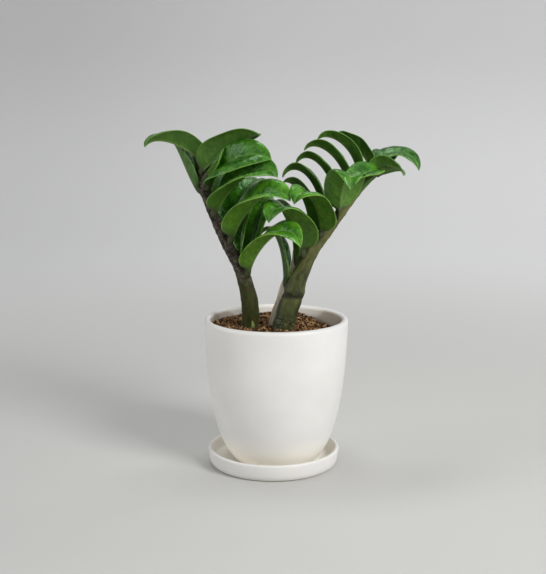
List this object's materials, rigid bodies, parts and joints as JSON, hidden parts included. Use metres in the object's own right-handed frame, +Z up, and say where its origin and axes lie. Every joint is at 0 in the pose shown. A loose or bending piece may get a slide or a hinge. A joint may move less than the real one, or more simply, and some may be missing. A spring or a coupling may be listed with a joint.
{
  "type": "potted zz plant",
  "caption": "Dwarf ZZ plant with thick arching fronds and curled glossy leaflets in a bellied round ceramic pot that stands in a matching saucer.",
  "frame": {"origin": "on the ground under the pot's axis, at the saucer's flat underside", "axes": "+Z up, -Y towards the viewer (the front), +X to the viewer's right"},
  "size_m": [0.2252, 0.12, 0.283],
  "materials": {
    "ceramic": "matte off-white ceramic glaze",
    "potting_mix": "loose brown coir and bark chips, matte",
    "leaf": "waxy living leaf, glossy above and duller below, with a matte olive and brown stem"
  },
  "bodies": {
    "root": {"saucer": "ceramic", "pot": "ceramic", "soil": "potting_mix", "frond_left": "leaf", "frond_right": "leaf"}
  },
  "joints": []
}
